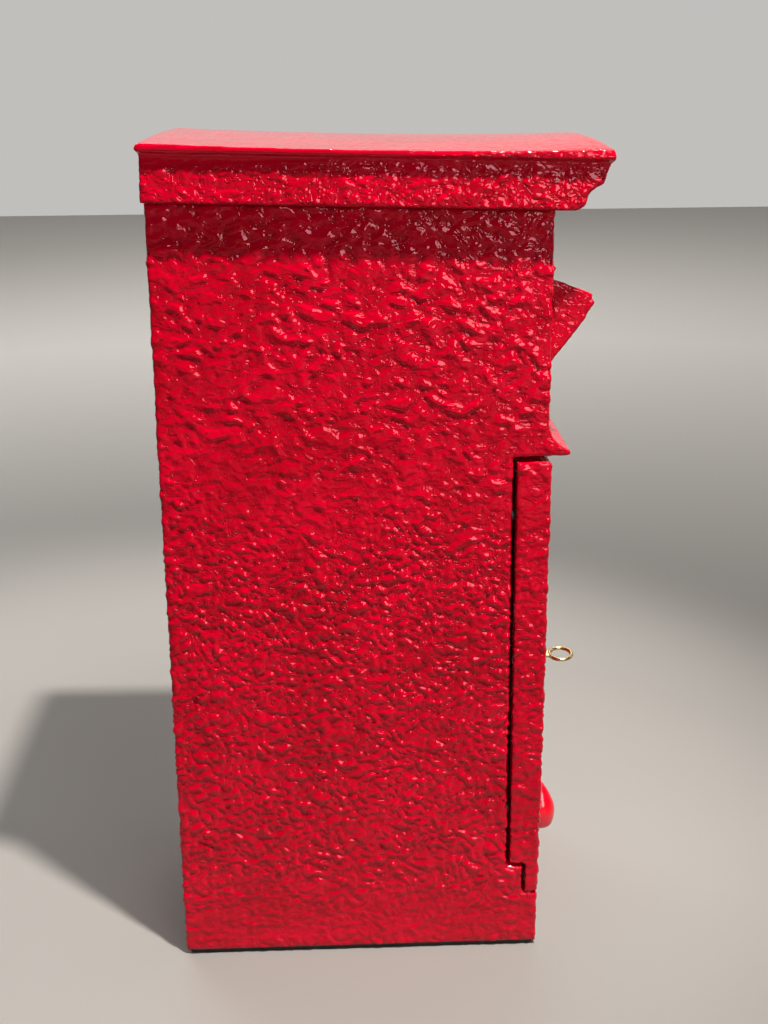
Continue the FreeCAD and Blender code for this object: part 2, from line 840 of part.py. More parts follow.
def flap_brackets():
    """Two angle brackets inside the front wall that carry the flap's pin."""
    brackets = []
    for name, side in (("left", -1), ("right", 1)):
        ear = doc.addObject("Part::Box", f"bracket_ear_{name}")
        bind(ear, "Length", size("ear_thick"))
        bind(ear, "Width", size("flap_pin_depth") + 5.0)
        bind(ear, "Height", as_length(12.0))
        low_x = ear_x if side > 0 else -ear_x - size("ear_thick")
        place(ear, low_x, wall_inside, size("flap_pin_height") - 6.0)
        foot = doc.addObject("Part::Box", f"bracket_foot_{name}")
        bind(foot, "Length", as_length(16.0))
        bind(foot, "Width", as_length(2.0))
        bind(foot, "Height", as_length(24.0))
        foot_x = ear_x if side > 0 else -ear_x - 16.0
        place(foot, foot_x, wall_inside, size("flap_pin_height") - 12.0)
        angle = fuse(f"bracket_angle_{name}", ear, foot)
        bore = size("flap_pin") + size("snug_fit") * 2
        drills = [cylinder(f"bracket_bore_{name}", bore, as_length(30.0))]
        place(drills[0], side * ear_x - 15.0, flap_axis_y, size("flap_pin_height"), Y_AXIS, 90.0)
        for index, (x, z) in enumerate(BRACKET_SCREWS):
            if (x.value > 0) == (side > 0):
                drill = cylinder(f"bracket_screw_hole_{index}", size("screw") + 0.3, as_length(6.0))
                place(drill, x, wall_inside + 4.0, z, X_AXIS, 90.0)
                drills.append(drill)
        for index, drill in enumerate(drills):
            angle = cut(f"bracket_{name}_{index}", angle, drill)
        brackets.append(angle)
    group("flap_brackets", brackets)


def flap_pin():
    """The pin that the flap swings on."""
    body = new_body("flap_pin")
    half = ear_x + size("ear_thick")
    place(body, -half - 2.0, flap_axis_y, size("flap_pin_height"))
    rod = new_sketch(body, "rod", "YZ_Plane", circles=[(0.0, 0.0, size("flap_pin"))])
    pad(body, "rod_pad", rod, half * 2 + 4.0)
    head = new_sketch(body, "head", "YZ_Plane", circles=[(0.0, 0.0, size("flap_pin") + 2.4)])
    pad(body, "head_pad", head, as_length(1.9))


def letter_baffle():
    """The bent sheet under the slot that stops hands and tools reaching down."""
    body = new_body("letter_baffle")
    thick = size("baffle_thick")
    top = size("baffle_top")
    face = wall_inside
    profile = [
        (face, size("baffle_foot")),
        (face + thick, size("baffle_foot")),
        (face + thick, top - thick * 1.4),
        (size("baffle_back"), size("baffle_back_height")),
        (size("baffle_back"), size("baffle_back_height") - 12.0),
        (size("baffle_back") + thick, size("baffle_back_height") - 12.0),
        (size("baffle_back") + thick, size("baffle_back_height") + thick),
        (face, top),
    ]
    outline = new_sketch(body, "profile", "YZ_Plane", outlines=[profile])
    pad(body, "sheet", outline, size("baffle_width"), symmetric=True)
    clear = [(x, z, size("screw") + 0.3) for x, z in BAFFLE_SCREWS]
    holes = new_sketch(body, "holes", "XZ_Plane", -(wall_inside + thick + 1.0), circles=clear)
    pocket(body, "drill", holes, thick + 2.0, along=True)


# -------------------------------------------------------------- hinge parts
def hinge_pins():
    """The upper and lower pivot pins and the washer that the door turns on."""
    long_pin = size("pin_hold") + (size("ledge_under") - size("door_top")) + size("pin_reach")
    upper = cylinder("hinge_pin_upper", size("hinge_pin"), long_pin)
    place(upper, hinge_x, hinge_y, size("door_top") - size("pin_reach"))
    parts.append(upper)

    step = size("door_step") - size("upstand_top")
    lower = cylinder("hinge_pin_lower", size("hinge_pin"), size("pin_root") + step + size("pin_reach"))
    place(lower, hinge_x, hinge_y, size("upstand_top") - size("pin_root"))
    parts.append(lower)

    disc = cylinder("hinge_washer_disc", size("washer_width"), size("washer_height"))
    hole = cylinder("hinge_washer_hole", size("hinge_pin") + 0.1, size("washer_height") + 2.0)
    place(hole, z=-1.0)
    washer = cut("hinge_washer", disc, hole)
    place(washer, hinge_x, hinge_y, size("upstand_top"))
    parts.append(washer)


def door_bumpers():
    """Rubber buttons on the seat that the closed door rests against."""
    buttons = []
    for index, height in enumerate((120.0, 360.0)):
        button = doc.addObject("Part::Cone", f"bumper_{index}")
        bind(button, "Radius1", as_length(5.0))
        bind(button, "Radius2", as_length(3.8))
        bind(button, "Height", size("door_gap") - 0.2)
        place(button, -half_width + 8.5, seat, height, X_AXIS, 90.0)
        buttons.append(button)
    group("door_bumpers", buttons)


# --------------------------------------------------------------- lock parts
def at_lock(body, turned=False):
    """Put a lock part on the lock's axis, with Y measured from its face."""
    place(body, lock_x, lock_face, size("lock_height"), Y_AXIS, KEY_TURN if turned else 0.0)


def lock_housing():
    """The fixed cylinder of the lock, with its front flange."""
    body = new_body("lock_housing")
    at_lock(body)
    barrel = new_sketch(body, "barrel", "XZ_Plane", circles=[(0.0, 0.0, size("lock_body"))])
    pad(body, "barrel_pad", barrel, size("lock_length"), reverse=True)
    flange = new_sketch(body, "flange", "XZ_Plane", circles=[(0.0, 0.0, size("lock_flange"))])
    pad(body, "flange_pad", flange, size("lock_flange_height"), reverse=True)
    round_edges(body, "flange_edge", 0.8, is_flange_edge)
    bore = size("lock_bore") + size("running_fit") * 2
    hole = new_sketch(body, "bore", "XZ_Plane", 1.0, circles=[(0.0, 0.0, bore)])
    pocket(body, "bore_drill", hole, size("lock_length") + 2.0)


def is_flange_edge(edge):
    """The front outer edge of the lock's flange."""
    box = edge.BoundBox
    return abs(box.YMax) < 0.01 and box.XLength > size("lock_flange").value - 0.5


def lock_nut():
    """The hexagon nut that clamps the lock in the door."""
    body = new_body("lock_nut")
    at_lock(body)
    radius = size("lock_nut_width") / math.sqrt(3)
    corners = []
    for corner in range(6):
        angle = math.radians(60 * corner)
        corners.append((radius * math.cos(angle), radius * math.sin(angle)))
    start = tray_floor - lock_face
    hexagon = new_sketch(body, "hexagon", "XZ_Plane", -start, [corners])
    pad(body, "nut", hexagon, size("lock_nut_height"), reverse=True)
    thread = size("lock_body") + size("snug_fit") * 2
    bore = new_sketch(body, "bore", "XZ_Plane", -start + 1.0, circles=[(0.0, 0.0, thread)])
    pocket(body, "bore_drill", bore, size("lock_nut_height") + 2.0)


def lock_barrel():
    """The turning plug of the lock, with its keyway and square tail."""
    body = new_body("lock_barrel")
    at_lock(body, turned=True)
    plug = new_sketch(body, "plug", "XZ_Plane", -0.2, circles=[(0.0, 0.0, size("lock_bore"))])
    pad(body, "plug_pad", plug, size("cam_seat") - 0.2, reverse=True)
    half = size("cam_square") / 2 - size("snug_fit")
    square = box_outline(-half, half, -half, half)
    tail = new_sketch(body, "tail", "XZ_Plane", -size("cam_seat"), [square])
    pad(body, "tail_pad", tail, size("cam_thick"), reverse=True)
    wide = size("keyway_width") / 2
    high = size("keyway_height") / 2
    keyway = new_sketch(body, "keyway", "XZ_Plane", 0.0, [box_outline(-wide, wide, -high, high)])
    pocket(body, "keyway_cut", keyway, size("keyway_depth"))
    thread = size("screw") + size("snug_fit") * 2
    end = -size("cam_seat") - size("cam_thick")
    tap = new_sketch(body, "tap", "XZ_Plane", end, circles=[(0.0, 0.0, thread)])
    pocket(body, "tap_drill", tap, as_length(6.6), along=True)


def lock_cam():
    """The tongue that turns behind the door seat to lock the door."""
    body = new_body("lock_cam")
    at_lock(body, turned=True)
    half = size("cam_width") / 2
    reach = -size("cam_length") + half
    round_end = half + 0.01
    blade = [
        (-half, 0.0),
        (-half, reach, round_end, "right"),
        (half, reach),
        (half, 0.0, round_end, "right"),
    ]
    outline = new_sketch(body, "outline", "XZ_Plane", -size("cam_seat"), [blade])
    pad(body, "plate", outline, size("cam_thick"), reverse=True)
    side = size("cam_square") / 2
    hole = box_outline(-side, side, -side, side)
    square = new_sketch(body, "square", "XZ_Plane", -size("cam_seat") + 1.0, [hole])
    pocket(body, "square_cut", square, size("cam_thick") + 2.0)


def key():
    """The key: cut blade, shoulder and ring bow, level with its blade."""
    body = new_body("key")
    at_lock(body, turned=True)
    half = size("key_width") / 2
    neck = size("key_ring_reach") - size("key_ring")
    blade = [(-half, size("key_blade") - 3.0), (-half, -neck), (half, -neck)]
    for start, depth in KEY_CUTS:
        floor = half - depth
        blade += [(half, start), (floor, start + 1.4), (floor, start + 2.4), (half, start + 3.8)]
    blade += [(half, size("key_blade") - 3.0), (0.0, size("key_blade"))]
    outline = new_sketch(body, "blade", "XY_Plane", outlines=[blade])
    pad(body, "blade_pad", outline, size("key_thick"), symmetric=True)
    place_y = -size("key_ring_reach")
    wire = (place_y + size("key_ring"), 0.0, size("key_wire") * 2)
    ring = new_sketch(body, "wire", "YZ_Plane", circles=[wire])
    axis = new_sketch(body, "ring_axis", "YZ_Plane")
    ends = [Vector(place_y.value, v, 0) for v in (0, 5)]
    line = axis.addGeometry(Part.LineSegment(*ends), False)
    drive(axis, "DistanceX", line, 1, place_y)
    drive(axis, "DistanceX", line, 2, place_y)
    bow = body.newObject("PartDesign::Revolution", "key_bow")
    bow.Profile = ring
    bow.ReferenceAxis = (axis, ["Edge1"])
    bow.Angle = 360.0


# ----------------------------------------------------------------- the pull
def door_pull():
    """The smooth drop-shaped pull near the foot of the door."""
    body = new_body("door_pull")
    place(body, lock_x, panel_floor - size("pull_axis"), size("pull_height"))
    wide = size("pull_round")
    profile = [
        (0.0, 0.0),
        (wide - 7.5, 0.0, 6.5, "right"),
        (wide - 1.2, 5.6, 40.0, "right"),
        (wide, 14.4, 24.0, "right"),
        (wide - 2.7, 24.5, 60.0, "right"),
        (2.2, 37.5, 2.6, "right"),
        (0.7, 38.8),
        (0.0, 38.8),
    ]
    sketch = new_sketch(body, "profile", "XZ_Plane", outlines=[profile])
    drop = body.newObject("PartDesign::Revolution", "door_pull_drop")
    drop.Profile = sketch
    drop.ReferenceAxis = (next(o for o in body.Origin.OriginFeatures if o.Role == "Z_Axis"), [""])
    drop.Angle = 360.0
    behind = box_outline(-wide * 2, wide * 2, as_length(-5.0), as_length(60.0))
    flat = new_sketch(body, "flat", "XZ_Plane", -size("pull_axis"), [behind])
    pocket(body, "flat_cut", flat, wide * 2)
    tight = size("screw") + size("snug_fit") * 2
    hole = new_sketch(body, "tap", "XZ_Plane", -size("pull_axis"), circles=[(0.0, 19.0, tight)])
    pocket(body, "tap_drill", hole, as_length(9.0), along=True)


# ---------------------------------------------------------------- fasteners
def cylinder(name, diameter, height):
    """A plain cylinder along +Z."""
    item = doc.addObject("Part::Cylinder", name)
    bind(item, "Radius", as_length(diameter) / 2)
    bind(item, "Height", height)
    return item


def fuse(name, base, tool):
    """Join two solids."""
    item = doc.addObject("Part::Fuse", name)
    item.Base = base
    item.Tool = tool
    return item


def cut(name, base, tool):
    """Take one solid out of another."""
    item = doc.addObject("Part::Cut", name)
    item.Base = base
    item.Tool = tool
    return item


def group(label, members):
    """Several separate solids that are one node."""
    item = doc.addObject("Part::Compound", label)
    item.Label = label
    item.Links = members
    parts.append(item)


def socket_screw(name, shank, length, head, head_height):
    """A socket-head screw along +Z, with its seat at the origin."""
    top = cylinder(f"{name}_head", head, head_height)
    place(top, z=-as_length(head_height))
    stem = cylinder(f"{name}_stem", shank, length)
    solid = fuse(f"{name}_solid", top, stem)
    socket = doc.addObject("Part::Prism", f"{name}_socket")
    socket.Polygon = 6
    bind(socket, "Circumradius", as_length(head) * 0.3)
    bind(socket, "Height", as_length(head_height))
    place(socket, z=-as_length(head_height) * 1.4)
    return cut(name, solid, socket)


def screws_along_y(label, places, seat_y, length, toward_front, shank=None):
    """A node of equal screws whose heads sit at one depth."""
    shank = shank or size("screw")
    turn = 90.0 if toward_front else -90.0
    made = []
    for index, (x, z) in enumerate(places):
        screw = socket_screw(
            f"{label}_{index}", shank, length, size("screw_head"), size("screw_head_height")
        )
        place(screw, x, seat_y, z, X_AXIS, turn)
        made.append(screw)
    group(label, made)


def cap_fixings():
    """The bolts and washers that hold the cap down from inside."""
    bolts, washers = [], []
    pitch = math.radians(rim_pitch.value)
    down = Vector(0, math.sin(pitch), -math.cos(pitch))
    for index, (x, y) in enumerate(CAP_LUGS):
        rise = y * math.sin(pitch)
        lug_under = size("lug_height") * math.cos(pitch)
        seat_y = y * math.cos(pitch) + size("lug_height") * down.y
        seat_z = rim_height + rise - lug_under
        thick = 1.6
        disc = cylinder(f"cap_washer_disc_{index}", size("bolt_head") + 3.0, as_length(thick))
        hole = cylinder(f"cap_washer_hole_{index}", size("bolt") + 0.3, as_length(thick + 2.0))
        place(hole, z=-1.0)
        washer = cut(f"cap_washer_{index}", disc, hole)
        place(washer, x, seat_y + thick * down.y, seat_z + thick * down.z, X_AXIS, rim_pitch)
        washers.append(washer)
        bolt = socket_screw(
            f"cap_bolt_{index}", size("bolt"), size("bolt_length"), size("bolt_head"), size("bolt")
        )
        place(bolt, x, seat_y + thick * down.y, seat_z + thick * down.z, X_AXIS, rim_pitch)
        bolts.append(bolt)
    group("cap_bolts", bolts)
    group("cap_washers", washers)


def small_screws():
    """All the small screws."""
    plate_rear = plate_front + size("plate_thick")
    screws_along_y("back_plate_screws", PLATE_SCREWS, plate_rear, as_length(11.0), True)
    foot_rear = wall_inside + 2.0
    screws_along_y("bracket_screws", BRACKET_SCREWS, foot_rear, as_length(6.2), True)
    baffle_rear = wall_inside + size("baffle_thick")
    screws_along_y("baffle_screws", BAFFLE_SCREWS, baffle_rear, as_length(5.6), True)
    screws_along_y("hood_screws", HOOD_SCREWS, wall_inside, as_length(13.0), True)
    pull = [(lock_x, size("pull_height") + 19.0)]
    screws_along_y("door_pull_screw", pull, tray_floor, as_length(11.0), True)
    cam_rear = lock_face + size("cam_seat") + size("cam_thick")
    screws_along_y("cam_screw", [(lock_x, size("lock_height"))], cam_rear, as_length(6.4), True)


def check_document():
    """Stop if any object failed, or if a part is empty or not valid."""
    for item in doc.Objects:
        if "Invalid" in item.State or "Error" in item.State:
            raise RuntimeError(f"{item.Label} failed: {item.State}")
    for part in parts:
        if part.Shape.isNull() or not part.Shape.isValid():
            raise RuntimeError(f"{part.Label} has no valid shape")


def export_parts():
    """Write each part to its own file."""
    os.makedirs("parts", exist_ok=True)
    for part in parts:
        part.Shape.exportStep(f"parts/{part.Label}.step")
        box = part.Shape.BoundBox
        count = len(part.Shape.Solids)
        low = f"{box.XMin:.1f} {box.YMin:.1f} {box.ZMin:.1f}"
        high = f"{box.XMax:.1f} {box.YMax:.1f} {box.ZMax:.1f}"
        print(f"{part.Label}: {count} solid(s), {part.Shape.Volume / 1000:.1f} cm3, {low} to {high}")


for build in (
    body_shell,
    base_pad,
    back_plate,
    cornice_cap,
    cap_fixings,
    rain_hood,
    slot_flap,
    flap_brackets,
    flap_pin,
    letter_baffle,
    door,
    hinge_pins,
    door_bumpers,
    lock_housing,
    lock_nut,
    lock_barrel,
    lock_cam,
    key,
    door_pull,
    small_screws,
):
    build()
doc.recompute()
check_document()
export_parts()
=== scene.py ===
import json
import math

import bmesh
import bpy
import numpy as np
from mathutils import Matrix, Vector


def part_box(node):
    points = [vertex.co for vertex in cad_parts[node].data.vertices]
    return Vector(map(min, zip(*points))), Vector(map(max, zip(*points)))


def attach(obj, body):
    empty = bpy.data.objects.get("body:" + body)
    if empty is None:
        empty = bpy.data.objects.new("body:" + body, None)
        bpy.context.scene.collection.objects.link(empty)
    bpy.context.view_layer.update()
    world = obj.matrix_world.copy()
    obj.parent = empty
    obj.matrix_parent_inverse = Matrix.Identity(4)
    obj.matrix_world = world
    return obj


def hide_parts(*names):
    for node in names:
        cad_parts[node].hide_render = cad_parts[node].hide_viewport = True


# A cast, red-enamelled letter box. Metres, in the frame of the CAD model:
# X is the width, the front faces -Y, Z is up, and the floor is at Z = 0.

MM = 0.001
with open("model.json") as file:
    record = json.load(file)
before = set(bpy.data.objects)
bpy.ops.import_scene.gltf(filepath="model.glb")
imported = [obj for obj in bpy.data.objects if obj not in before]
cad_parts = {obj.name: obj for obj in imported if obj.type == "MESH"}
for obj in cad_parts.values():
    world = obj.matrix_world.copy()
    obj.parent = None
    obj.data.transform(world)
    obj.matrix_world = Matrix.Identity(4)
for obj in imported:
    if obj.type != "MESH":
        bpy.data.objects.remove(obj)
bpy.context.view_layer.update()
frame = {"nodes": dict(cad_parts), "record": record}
BODY_LOW, BODY_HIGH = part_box("body_shell")
HOOD_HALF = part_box("rain_hood")[1].x
LOCK = Vector(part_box("lock_housing")[0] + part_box("lock_housing")[1]) / 2
PULL = Vector(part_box("door_pull")[0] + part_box("door_pull")[1]) / 2


# ------------------------------------------------------------------ camera
def aim_camera():
    """The viewpoint: the left side nearly square-on, from a little above."""
    place = Vector((BODY_LOW.x - 0.9798, 0.0139, 0.6731))
    yaw, pitch, roll = (math.radians(a) for a in (-2.028, 17.373, -0.538))
    ahead = Vector((math.cos(yaw) * math.cos(pitch), math.sin(yaw) * math.cos(pitch), -math.sin(pitch)))
    level = ahead.cross(Vector((0, 0, 1))).normalized()
    upright = level.cross(ahead)
    right = math.cos(roll) * level + math.sin(roll) * upright
    up = math.cos(roll) * upright - math.sin(roll) * level
    data = bpy.data.cameras.new("camera")
    data.sensor_width = 36.0
    data.lens = 49.92
    data.clip_start = 0.01
    camera = bpy.data.objects.new("camera", data)
    turn = Matrix((right, up, -ahead)).transposed()
    camera.matrix_world = Matrix.Translation(place) @ turn.to_4x4()
    bpy.context.scene.collection.objects.link(camera)
    bpy.context.scene.camera = camera


# ------------------------------------------------------------------- noise
class Noise:
    """Gradient noise on a shuffled lattice, always the same for one seed."""

    def __init__(self, seed):
        rng = np.random.default_rng(seed)
        self.order = np.tile(rng.permutation(256), 2)
        directions = rng.normal(size=(256, 3))
        self.gradients = directions / np.linalg.norm(directions, axis=1)[:, None]

    def at(self, points):
        """Noise at each point, about -1 to 1, with features one unit across."""
        cell = np.floor(points).astype(np.int64)
        local = points - cell
        cell &= 255
        ease = local**3 * (local * (local * 6 - 15) + 10)
        total = np.zeros(len(points))
        for dx in (0, 1):
            for dy in (0, 1):
                for dz in (0, 1):
                    first = self.order[(cell[:, 0] + dx) & 255]
                    second = self.order[(first + cell[:, 1] + dy) & 255]
                    third = self.order[(second + cell[:, 2] + dz) & 255]
                    away = local - np.array((dx, dy, dz))
                    value = np.einsum("ij,ij->i", self.gradients[third], away)
                    wx = ease[:, 0] if dx else 1 - ease[:, 0]
                    wy = ease[:, 1] if dy else 1 - ease[:, 1]
                    wz = ease[:, 2] if dz else 1 - ease[:, 2]
                    total += value * wx * wy * wz
        return total * 1.6


def smooth_step(low, high, value):
    """0 below low, 1 above high, and an eased change between."""
    t = np.clip((value - low) / (high - low), 0.0, 1.0)
    return t * t * (3 - 2 * t)


FIELDS = [Noise(seed) for seed in range(11, 20)]
BENDS = FIELDS[:3]
BROAD, DENSE, GRAIN, DRIFT, FOLD, MIDDLE = FIELDS[3:]
LEAN = 0.25


def pillows(field, places, size):
    """Rounded lumps of a size in mm with narrow creases between them."""
    return np.abs(field.at(places / size))


def warped(places, bend, ripple, stretch):
    """Places in mm, bent and rippled by about that many mm and squeezed upright.

    Lumps that are laid out by these places lie along wavy lines.
    """
    wide = np.stack([field.at(places / 26.0) for field in BENDS], axis=1)
    tight = np.stack([field.at(places / 6.5 + 31.7) for field in BENDS], axis=1)
    x, y, z = (places + wide * bend + tight * ripple).T
    return np.stack([x, y + LEAN * z, (z - LEAN * y) * stretch], axis=1)


def wrinkles(places):
    """Height in mm of the wrinkles before they sag: broad and calm at the top, dense lower down."""
    drift = 60.0 * DRIFT.at(places / 90.0)
    coarse = smooth_step(290.0, 450.0, places[:, 2] + drift)
    broad_places = warped(places, 7.0, 1.4, 1.25)
    dense_places = warped(places, 5.0, 0.9, 1.08)
    broad = pillows(BROAD, broad_places, 15.0)
    middle = MIDDLE.at(broad_places / 6.6)
    dense = pillows(DENSE, dense_places, 7.6)
    grain = GRAIN.at(dense_places / 4.6)
    fold = FOLD.at(broad_places / 12.0)
    upper = np.minimum(broad, 0.55) * 1.7 + middle * 0.36 + fold * 0.5
    lower = np.sqrt(np.minimum(dense, 0.6) + 0.01) * 2.15 - 0.5 + grain * 0.5 + fold * 0.4
    return coarse * upper + (1.0 - coarse) * lower


def cast_relief(places):
    """Height in mm of the sagging, wrinkled skin, and how deep each place lies in a hollow."""
    sag = np.array((0.0, 0.0, 1.0))
    height = wrinkles(places)
    height = wrinkles(places + height[:, None] * sag)
    calm = 0.6 + 0.4 * smooth_step(10.0, 90.0, places[:, 2])
    return (height - 0.6) * calm * 1.35, (1.0 - smooth_step(-0.1, 0.6, height)) * calm


def fine_relief(places):
    """Height in mm of the tighter crumple on the mouldings, and the creases."""
    q = warped(places, 4.0, 1.0, 1.1)
    dense = pillows(DENSE, q, 6.8)
    grain = pillows(GRAIN, q, 3.9)
    fold = FOLD.at(q / 17.0)
    return dense * 1.3 + grain * 0.6 + fold * 0.35 - 0.5, np.clip(1.0 - dense * 5.0, 0.0, 1.0)


# ------------------------------------------------------- where the skin is
def around(places, x, z, clear, full):
    """0 on a fitting's seat on the front, 1 away from it."""
    return smooth_step(clear, full, np.hypot(places[:, 0] - x, places[:, 2] - z))


def body_share(places, normals):
    """The casting's sides, its front and, more softly, its back rim."""
    x, y, z = places.T
    sides = smooth_step(104.6, 106.4, np.abs(x))
    front = smooth_step(136.0, 138.2, -y) * (0.75 - 0.35 * smooth_step(141.0, 145.0, -y))
    rim = 0.5 * smooth_step(137.5, 139.0, y)
    under = 1.0 - 0.9 * smooth_step(0.5, 0.8, -normals[:, 2]) * (z < 8.0)
    return np.maximum(sides, np.maximum(front, rim)) * under


def cap_share(places, normals):
    """The cap's mouldings, with a calmer lip and roof and a plain underside."""
    x, y, z = places.T
    level = z - 584.15 + y * 0.0297
    outer = 1.0 - smooth_step(0.45, 0.75, -normals[:, 2])
    hollow = (np.abs(x) < 105.0) & (np.abs(y) < 128.0) & (level < 31.8)
    lip = smooth_step(30.0, 33.0, level)
    return outer * np.where(hollow, 0.0, 1.0) * (1.0 - 0.8 * lip)


def door_share(places, normals):
    """The door's front and edges, but not the seats of the lock and the pull."""
    x, y, z = places.T
    front = 0.8 * smooth_step(137.0, 138.0, -y)
    edges = 0.75 * smooth_step(105.0, 106.6, np.abs(x))
    seats = around(places, LOCK.x * 1000, LOCK.z * 1000, 13.0, 19.0)
    seats = seats * around(places, PULL.x * 1000, PULL.z * 1000, 14.0, 24.0)
    return np.maximum(front, edges) * seats


def hood_share(places, normals):
    """The outside of the rain hood, and much less between its cheeks."""
    between = np.abs(places[:, 0]) < HOOD_HALF * 1000 - 3.9
    inside = between & (normals[:, 2] < 0.2) & (normals[:, 1] > -0.95)
    return np.where(inside, 0.15, 0.6)


# ------------------------------------------------------------- mesh helpers
def vertex_values(mesh):
    """Vertex places in mm, and normals."""
    places = np.empty(len(mesh.vertices) * 3)
    mesh.vertices.foreach_get("co", places)
    normals = np.empty(len(mesh.vertices) * 3)
    mesh.vertices.foreach_get("normal", normals)
    return places.reshape(-1, 3) * 1000.0, normals.reshape(-1, 3)


def baked(piece):
    """Keep the result of the piece's modifiers as its mesh."""
    graph = bpy.context.evaluated_depsgraph_get()
    mesh = bpy.data.meshes.new_from_object(piece.evaluated_get(graph))
    piece.modifiers.clear()
    piece.data = mesh
    mesh.name = piece.name


def even_copy(node, name, step, rounds=4):
    """The node's shape as an even mesh, its edges softened by thick enamel."""
    piece = bpy.data.objects.new(name, frame["nodes"][node].data.copy())
    bpy.context.scene.collection.objects.link(piece)
    piece.data.materials.clear()
    grid = piece.modifiers.new("grid", "REMESH")
    grid.mode = "VOXEL"
    grid.voxel_size = step
    soften = piece.modifiers.new("soften", "SMOOTH")
    soften.factor = 0.5
    soften.iterations = rounds
    baked(piece)
    piece.data.shade_smooth()
    return piece


def roughen(piece, relief, share_of):
    """Raise the skin along its normals, and note the creases and the plain places."""
    places, normals = vertex_values(piece.data)
    share = share_of(places, normals)
    skin = share > 0.01
    height = np.zeros(len(places))
    valley = np.zeros(len(places))
    height[skin], valley[skin] = relief(places[skin])
    moved = (places + normals * (height * share)[:, None]) / 1000.0
    piece.data.vertices.foreach_set("co", moved.ravel())
    # The hollow mark later darkens the enamel in the creases (painted shade, partly pooled enamel) and
    # drives its fine crinkle bump.
    for name, values in (("hollow", valley * share), ("rough", share)):
        mark = piece.data.attributes.new(name, "FLOAT", "POINT")
        mark.data.foreach_set("value", values.astype(np.float32))
    plain = piece.vertex_groups.new(name="plain")
    plain.add(np.flatnonzero(~skin).tolist(), 1.0, "REPLACE")
    piece.data.update()


def thin_out(piece, budget):
    """Use fewer faces on the plain inner surfaces, to about the given number of triangles."""
    count = len(piece.data.polygons) * 2
    if count > budget:
        fewer = piece.modifiers.new("fewer", "DECIMATE")
        fewer.vertex_group = "plain"
        fewer.ratio = budget / count
        baked(piece)


def keep_side(piece, planes):
    """Keep what lies on the inner side of each plane (x in metres, direction +1 or -1) and close it."""
    bm = bmesh.new()
    bm.from_mesh(piece.data)
    for x, direction in planes:
        geometry = bm.verts[:] + bm.edges[:] + bm.faces[:]
        cut = bmesh.ops.bisect_plane(
            bm, geom=geometry, plane_co=(x, 0, 0), plane_no=(direction, 0, 0), clear_outer=True
        )
        rim = [e for e in cut["geom_cut"] if isinstance(e, bmesh.types.BMEdge)]
        for edge in rim:
            edge.smooth = False
        bmesh.ops.triangle_fill(bm, edges=rim, use_beauty=True, normal=(direction, 0, 0))
    bm.to_mesh(piece.data)
    bm.free()


def copy_of(piece, name):
    """A second object with its own copy of the mesh and vertex groups."""
    twin = piece.copy()
    twin.data = piece.data.copy()
    twin.name = name
    bpy.context.scene.collection.objects.link(twin)
    return twin


# --------------------------------------------------------------- materials
RANGE_SOCKETS = ("From Min", "From Max", "To Min", "To Max")


class Shader:
    """A Principled material that is built up node by node."""

    def __init__(self, name, **values):
        self.material = bpy.data.materials.new(name)
        self.material.use_nodes = True
        self.tree = self.material.node_tree
        self.main = self.tree.nodes["Principled BSDF"]
        self.place = self.add("ShaderNodeTexCoord").outputs["Object"]
        for socket, value in values.items():
            self.main.inputs[socket.replace("_", " ")].default_value = value

    def add(self, kind, **settings):
        node = self.tree.nodes.new(kind)
        for key, value in settings.items():
            setattr(node, key, value)
        return node

    def link(self, source, target):
        self.tree.links.new(source, target)

    def noise(self, size, detail=3.0, stretch=(1, 1, 1), distortion=0.0):
        """Noise with features of a size in metres."""
        mapping = self.add("ShaderNodeMapping")
        mapping.inputs["Scale"].default_value = stretch
        self.link(self.place, mapping.inputs["Vector"])
        node = self.add("ShaderNodeTexNoise")
        node.inputs["Scale"].default_value = 1.0 / size
        node.inputs["Detail"].default_value = detail
        node.inputs["Distortion"].default_value = distortion
        self.link(mapping.outputs["Vector"], node.inputs["Vector"])
        return node.outputs["Fac"]

    def spread(self, source, low, high, to_low, to_high):
        """Map one range of a value onto another."""
        node = self.add("ShaderNodeMapRange")
        for socket, value in zip(RANGE_SOCKETS, (low, high, to_low, to_high)):
            node.inputs[socket].default_value = value
        self.link(source, node.inputs["Value"])
        return node.outputs["Result"]

    def blend(self, amount, first, second):
        """Mix two colours, or a colour and another mix."""
        node = self.add("ShaderNodeMix", data_type="RGBA")
        self.link(amount, node.inputs["Factor"])
        for socket, colour in ((node.inputs[6], first), (node.inputs[7], second)):
            if isinstance(colour, tuple):
                socket.default_value = (*colour, 1.0)
            else:
                self.link(colour, socket)
        return node.outputs[2]

    def product(self, first, second):
        """One value times another."""
        node = self.add("ShaderNodeMath", operation="MULTIPLY")
        self.link(first, node.inputs[0])
        self.link(second, node.inputs[1])
        return node.outputs["Value"]

    def bump(self, height, distance, strength=1.0, below=None):
        """A bump of a height in metres, on top of another bump."""
        node = self.add("ShaderNodeBump")
        node.inputs["Distance"].default_value = distance
        node.inputs["Strength"].default_value = strength
        self.link(height, node.inputs["Height"])
        if below is not None:
            self.link(below, node.inputs["Normal"])
        return node.outputs["Normal"]

    def finish(self, colour=None, roughness=None, normal=None):
        for socket, source in (("Base Color", colour), ("Roughness", roughness), ("Normal", normal)):
            if source is not None:
                self.link(source, self.main.inputs[socket])
        return self.material


